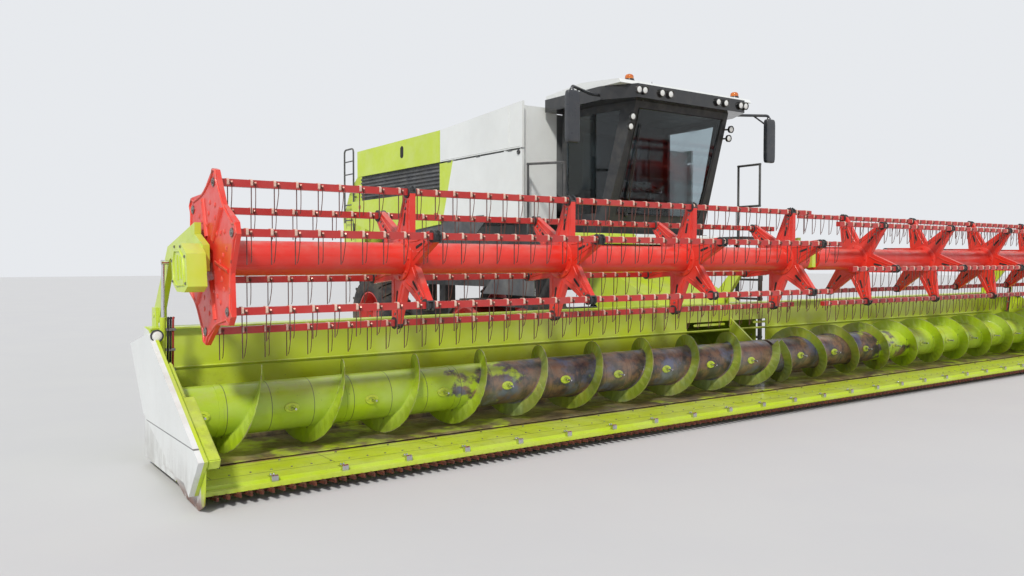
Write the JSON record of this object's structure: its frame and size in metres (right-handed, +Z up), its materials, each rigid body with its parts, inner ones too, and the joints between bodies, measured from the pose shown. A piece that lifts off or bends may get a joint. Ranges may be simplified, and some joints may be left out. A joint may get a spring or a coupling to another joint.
{
  "type": "tracked combine harvester with wide grain header",
  "caption": "Tracked self-propelled combine harvester with a wide auger header, sliding cutting table, two-part tine reel, cab, grain tank and swinging unloading tube.",
  "frame": {"origin": "centre of the machine's outline on the ground", "axes": "+Z up, the machine drives towards -Y, its own right side is at -X"},
  "size_m": [13.9, 10.6048, 3.971],
  "materials": {
    "lime_paint": "gloss",
    "white_paint": "gloss",
    "red_paint": "gloss",
    "chassis_paint": "satin",
    "housing_grey": "satin",
    "engine_grey": "matte",
    "track_steel": "satin",
    "track_rubber": "matte",
    "tyre_rubber": "matte",
    "dark_plastic": "matte",
    "gloss_black": "gloss",
    "cab_glass": "gloss",
    "seat_fabric": "matte",
    "rail_steel": "satin",
    "lamp_glass": "gloss",
    "amber_plastic": "gloss",
    "rod_steel": "polished",
    "table_steel": "satin",
    "knife_steel": "rusted",
    "auger_paint": "satin"
  },
  "bodies": {
    "chassis": {"main_frame": "chassis_paint", "front_axle": "chassis_paint", "track_frames": "track_steel", "track_belts": "track_rubber", "rear_axle": "chassis_paint", "threshing_housing": "housing_grey", "body_frame": "chassis_paint", "engine_block": "engine_grey", "grain_tank": "housing_grey", "tank_sides": "white_paint", "engine_sides": "lime_paint", "engine_hood": "housing_grey", "bay_grilles": "dark_plastic", "lower_rear_panels": "lime_paint", "rear_hood": "lime_paint", "fenders": "dark_plastic", "cab_shell": "dark_plastic", "cab_glass": "cab_glass", "cab_roof": "white_paint", "roof_fascia": "gloss_black", "operator_seat": "seat_fabric", "control_console": "dark_plastic", "cab_skirt": "housing_grey", "platforms": "rail_steel", "mirrors": "gloss_black", "work_lights": "lamp_glass", "beacons": "amber_plastic", "straw_chopper": "housing_grey"},
    "knuckle_right": {"knuckle_right": "chassis_paint"},
    "knuckle_left": {"knuckle_left": "chassis_paint"},
    "rear_wheel_right": {"rear_rim_right": "red_paint", "rear_tyre_right": "tyre_rubber"},
    "rear_wheel_left": {"rear_rim_left": "red_paint", "rear_tyre_left": "tyre_rubber"},
    "tie_rod": {"tie_rod": "rod_steel"},
    "header": {"feeder_house": "lime_paint", "header_frame": "lime_paint", "header_sides": "lime_paint"},
    "lift_barrels": {"lift_barrels": "chassis_paint"},
    "lift_rods": {"lift_rods": "rod_steel"},
    "cutting_table": {"table": "table_steel", "knife": "knife_steel", "dividers": "lime_paint", "end_shields": "white_paint"},
    "auger_right": {"auger_right": "auger_paint"},
    "auger_left": {"auger_left": "auger_paint"},
    "reel_arms": {"reel_arms": "lime_paint"},
    "reel_lift_barrels": {"reel_lift_barrels": "lime_paint"},
    "reel_lift_rods": {"reel_lift_rods": "rod_steel"},
    "reel_carriage": {"reel_carriage": "lime_paint"},
    "reel_right": {"reel_right": "red_paint"},
    "reel_left": {"reel_left": "red_paint"},
    "unloading_tube": {"unloading_tube": "lime_paint"},
    "cab_door": {"cab_door": "dark_plastic"},
    "ladder": {"ladder": "rail_steel"},
    "side_door_right": {"side_door_right": "white_paint"},
    "side_door_left": {"side_door_left": "white_paint"},
    "tank_lid_right": {"tank_lid_right": "housing_grey"},
    "tank_lid_left": {"tank_lid_left": "housing_grey"}
  },
  "joints": [
    {"name": "feeder_lift", "type": "hinge", "parent": "chassis", "child": "header", "pos_m": [0, -1.14762, 1.7], "axis": [-1, 0, 0], "range_deg": [0, 17]},
    {"name": "lift_barrel_swing", "type": "hinge", "parent": "chassis", "child": "lift_barrels", "pos_m": [0, -1.05762, 0.64], "axis": [-1, 0, 0], "range_deg": [-1, 17]},
    {"name": "lift_rod_stroke", "type": "slide", "parent": "lift_barrels", "child": "lift_rods", "axis": [0, -0.9913, -0.1313], "range_m": [-0.01, 0.323]},
    {"name": "table_reach", "type": "slide", "parent": "header", "child": "cutting_table", "axis": [0, -1, 0], "range_m": [-0.1, 0.6]},
    {"name": "auger_turn_right", "type": "hinge", "parent": "header", "child": "auger_right", "pos_m": [0, -4.09762, 0.5], "axis": [1, 0, 0], "continuous": true},
    {"name": "auger_turn_left", "type": "hinge", "parent": "header", "child": "auger_left", "pos_m": [0, -4.09762, 0.5], "axis": [1, 0, 0], "continuous": true},
    {"name": "reel_lift", "type": "hinge", "parent": "header", "child": "reel_arms", "pos_m": [0, -3.46762, 1.215], "axis": [-1, 0, 0], "range_deg": [-18, 8]},
    {"name": "reel_ram_swing", "type": "hinge", "parent": "header", "child": "reel_lift_barrels", "pos_m": [0, -3.79762, 0.7], "axis": [-1, 0, 0], "range_deg": [-9.6, 4.8]},
    {"name": "reel_ram_stroke", "type": "slide", "parent": "reel_lift_barrels", "child": "reel_lift_rods", "axis": [0, -0.0743, 0.9972], "range_m": [-0.132, 0.064]},
    {"name": "reel_reach", "type": "slide", "parent": "reel_arms", "child": "reel_carriage", "axis": [0, -0.9685, 0.249], "range_m": [0, 0.4]},
    {"name": "reel_turn_right", "type": "hinge", "parent": "reel_carriage", "child": "reel_right", "pos_m": [0, -4.68762, 1.67], "axis": [1, 0, 0], "continuous": true},
    {"name": "reel_turn_left", "type": "hinge", "parent": "reel_carriage", "child": "reel_left", "pos_m": [0, -4.68762, 1.67], "axis": [1, 0, 0], "continuous": true},
    {"name": "steer_right", "type": "hinge", "parent": "chassis", "child": "knuckle_right", "pos_m": [-1.05, 3.25238, 0.7], "axis": [0, 0, 1], "range_deg": [-35, 35]},
    {"name": "steer_left", "type": "hinge", "parent": "chassis", "child": "knuckle_left", "pos_m": [1.05, 3.25238, 0.7], "axis": [0, 0, 1], "range_deg": [-35, 35]},
    {"name": "tie_rod_shift", "type": "slide", "parent": "chassis", "child": "tie_rod", "axis": [-1, 0, 0], "range_m": [-0.15, 0.15]},
    {"name": "rear_wheel_turn_right", "type": "hinge", "parent": "knuckle_right", "child": "rear_wheel_right", "pos_m": [-1.4, 3.25238, 0.7], "axis": [1, 0, 0], "continuous": true},
    {"name": "rear_wheel_turn_left", "type": "hinge", "parent": "knuckle_left", "child": "rear_wheel_left", "pos_m": [1.4, 3.25238, 0.7], "axis": [1, 0, 0], "continuous": true},
    {"name": "unloading_swing", "type": "hinge", "parent": "chassis", "child": "unloading_tube", "pos_m": [1.42, -0.74762, 3.6], "axis": [0, 0, -1], "range_deg": [0, 105]},
    {"name": "cab_door_swing", "type": "hinge", "parent": "chassis", "child": "cab_door", "pos_m": [0.998, -1.50262, 2.9], "axis": [0, 0, 1], "range_deg": [0, 80]},
    {"name": "ladder_swing", "type": "hinge", "parent": "chassis", "child": "ladder", "pos_m": [1.77, -2.18762, 1.2], "axis": [0, 0, 1], "range_deg": [0, 90]},
    {"name": "side_door_lift_right", "type": "hinge", "parent": "chassis", "child": "side_door_right", "pos_m": [-1.64, -0.34762, 3.166], "axis": [0, 1, 0], "range_deg": [0, 75]},
    {"name": "side_door_lift_left", "type": "hinge", "parent": "chassis", "child": "side_door_left", "pos_m": [1.64, -0.34762, 3.166], "axis": [0, -1, 0], "range_deg": [0, 75]},
    {"name": "tank_lid_turn_right", "type": "hinge", "parent": "chassis", "child": "tank_lid_right", "pos_m": [-1.5627, -0.34762, 3.6803], "axis": [0, -1, 0], "range_deg": [0, 95]},
    {"name": "tank_lid_turn_left", "type": "hinge", "parent": "chassis", "child": "tank_lid_left", "pos_m": [1.14, -0.34762, 3.6803], "axis": [0, 1, 0], "range_deg": [0, 95]}
  ],
  "couplings": [
    {"joint": "lift_barrel_swing", "follows": "feeder_lift", "ratio": 0.942},
    {"joint": "lift_rod_stroke", "follows": "feeder_lift", "m_per_rad": 1.055},
    {"joint": "auger_turn_left", "follows": "auger_turn_right", "ratio": 1},
    {"joint": "reel_ram_swing", "follows": "reel_lift", "ratio": 0.479},
    {"joint": "reel_ram_stroke", "follows": "reel_lift", "m_per_rad": 0.387},
    {"joint": "reel_turn_left", "follows": "reel_turn_right", "ratio": 1},
    {"joint": "steer_left", "follows": "steer_right", "ratio": 1},
    {"joint": "tie_rod_shift", "follows": "steer_right", "m_per_rad": 0.23}
  ]
}
